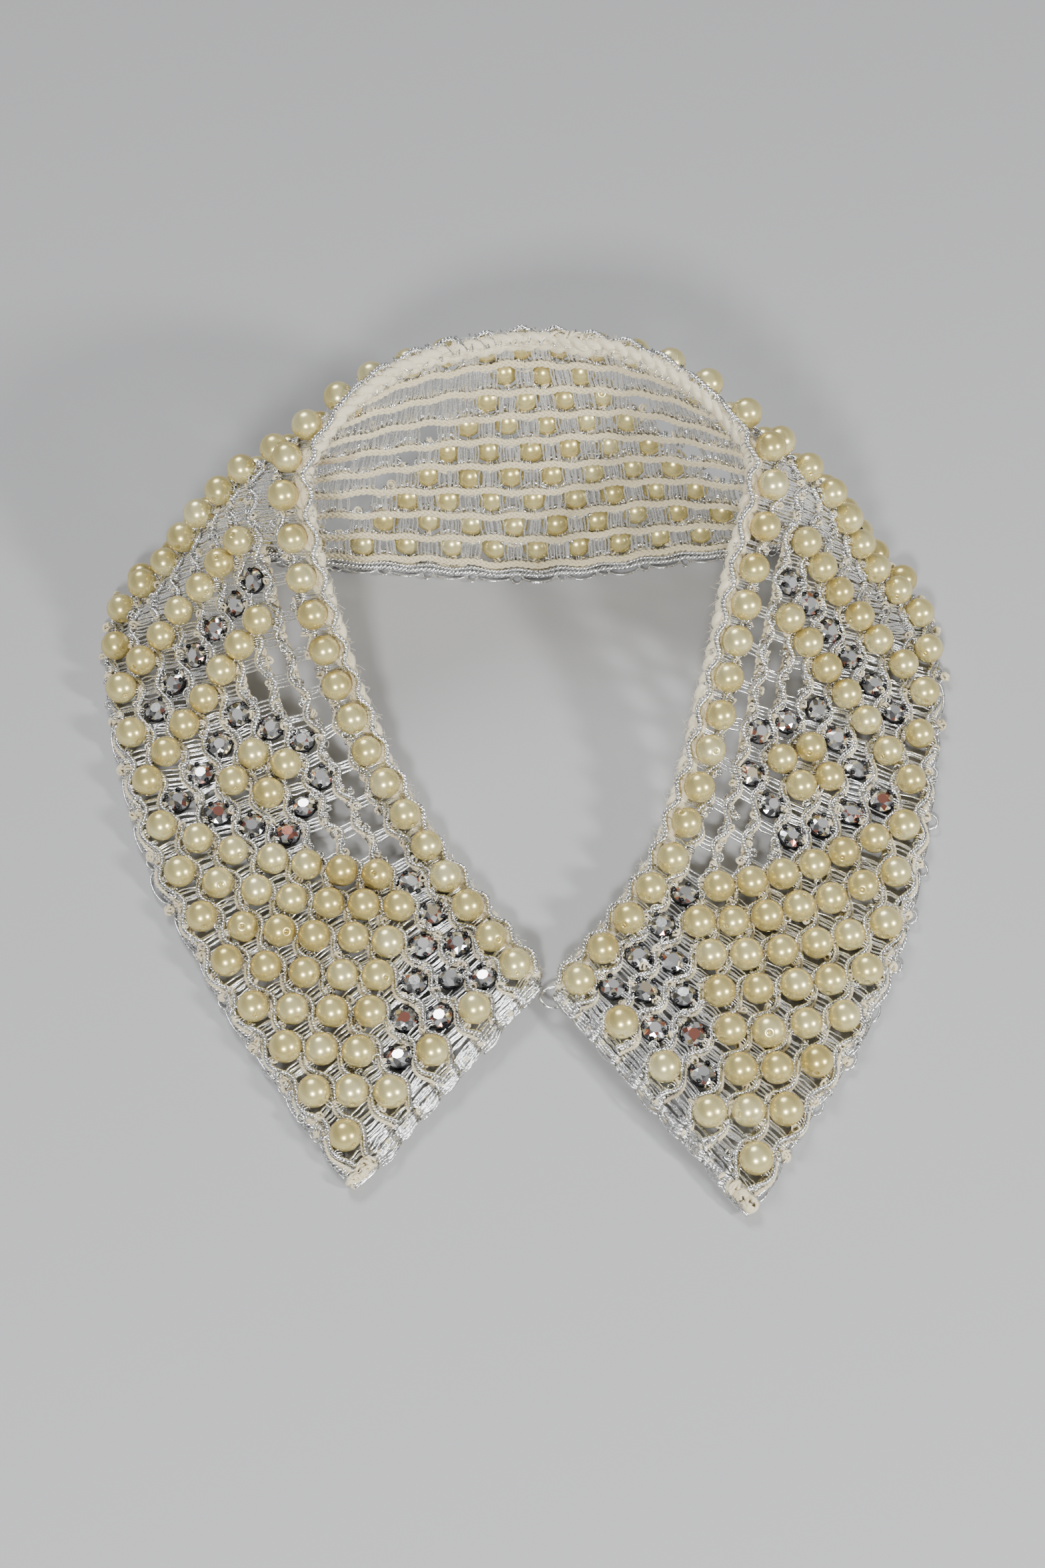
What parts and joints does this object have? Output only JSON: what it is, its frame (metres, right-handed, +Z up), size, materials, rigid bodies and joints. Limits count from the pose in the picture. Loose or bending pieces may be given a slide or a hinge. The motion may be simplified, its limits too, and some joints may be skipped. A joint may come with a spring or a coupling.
{
  "type": "detachable lace collar",
  "caption": "Detachable lace collar with two pointed wings, set with rows of imitation pearls and cut-glass stones; it goes round the neck over a top.",
  "frame": {"origin": "centre of the footprint on the surface that the collar stands on", "axes": "+Z up, the wings point along -Y, +X to the side of the right wing as seen with the wings towards the viewer"},
  "size_m": [0.1731, 0.176, 0.0537],
  "materials": {
    "pearl": "nacreous coating on a plastic bead, champagne cream, two soft highlights",
    "rhinestone": "faceted dark grey cut glass in a notched foil setting",
    "lace": "knitted cream cotton and silver metallic thread",
    "yarn": "soft fuzzy cream yarn wrapped with silver metallic thread",
    "silver_thread": "braided silver metallic thread with a bright sparkle"
  },
  "bodies": {
    "back": {"lace_back": "lace", "neckline_yarn_back": "yarn", "outer_edge_cord_back": "silver_thread", "pearl_row_0_back": "pearl", "pearl_row_1_back": "pearl", "pearl_row_2_back": "pearl", "pearl_row_3_back": "pearl", "pearl_row_4_back": "pearl", "pearl_row_5_back": "pearl", "pearl_row_6_back": "pearl", "pearl_row_7_back": "pearl", "pearl_row_8_back": "pearl", "silver_rim_back": "silver_thread", "stones_back_left": "rhinestone", "stones_back_right": "rhinestone"},
    "left_wing": {"end_cord_left": "silver_thread", "lace_left_wing": "lace", "neckline_yarn_left_wing": "yarn", "outer_edge_cord_left_wing": "silver_thread", "pearl_row_0_left_wing": "pearl", "pearl_row_2_left_wing": "pearl", "pearl_row_3_left_wing": "pearl", "pearl_row_4_left_wing": "pearl", "pearl_row_5_left_wing": "pearl", "pearl_row_6_left_wing": "pearl", "pearl_row_7_left_wing": "pearl", "pearl_row_8_left_wing": "pearl", "silver_rim_left_wing": "silver_thread", "stones_diagonal_left": "rhinestone", "stones_diamond_left": "rhinestone", "stones_shoulder_left": "rhinestone", "stones_tip_left": "rhinestone", "tip_knot_left": "yarn"},
    "right_wing": {"corner_loop": "silver_thread", "end_cord_right": "silver_thread", "lace_right_wing": "lace", "neckline_yarn_right_wing": "yarn", "outer_edge_cord_right_wing": "silver_thread", "pearl_row_0_right_wing": "pearl", "pearl_row_2_right_wing": "pearl", "pearl_row_3_right_wing": "pearl", "pearl_row_4_right_wing": "pearl", "pearl_row_5_right_wing": "pearl", "pearl_row_6_right_wing": "pearl", "pearl_row_7_right_wing": "pearl", "pearl_row_8_right_wing": "pearl", "silver_rim_right_wing": "silver_thread", "stones_diagonal_right": "rhinestone", "stones_diamond_right": "rhinestone", "stones_shoulder_right": "rhinestone", "stones_tip_right": "rhinestone", "tip_knot_right": "yarn"}
  },
  "joints": [
    {"name": "left_wing_flex", "type": "hinge", "parent": "back", "child": "left_wing", "pos_m": [-0.0684, 0.07555, 0.01], "axis": [0, 0, 1], "range_deg": [-12, 0]},
    {"name": "right_wing_flex", "type": "hinge", "parent": "back", "child": "right_wing", "pos_m": [0.0711, 0.07705, 0.01], "axis": [0, 0, 1], "range_deg": [0, 12]}
  ]
}
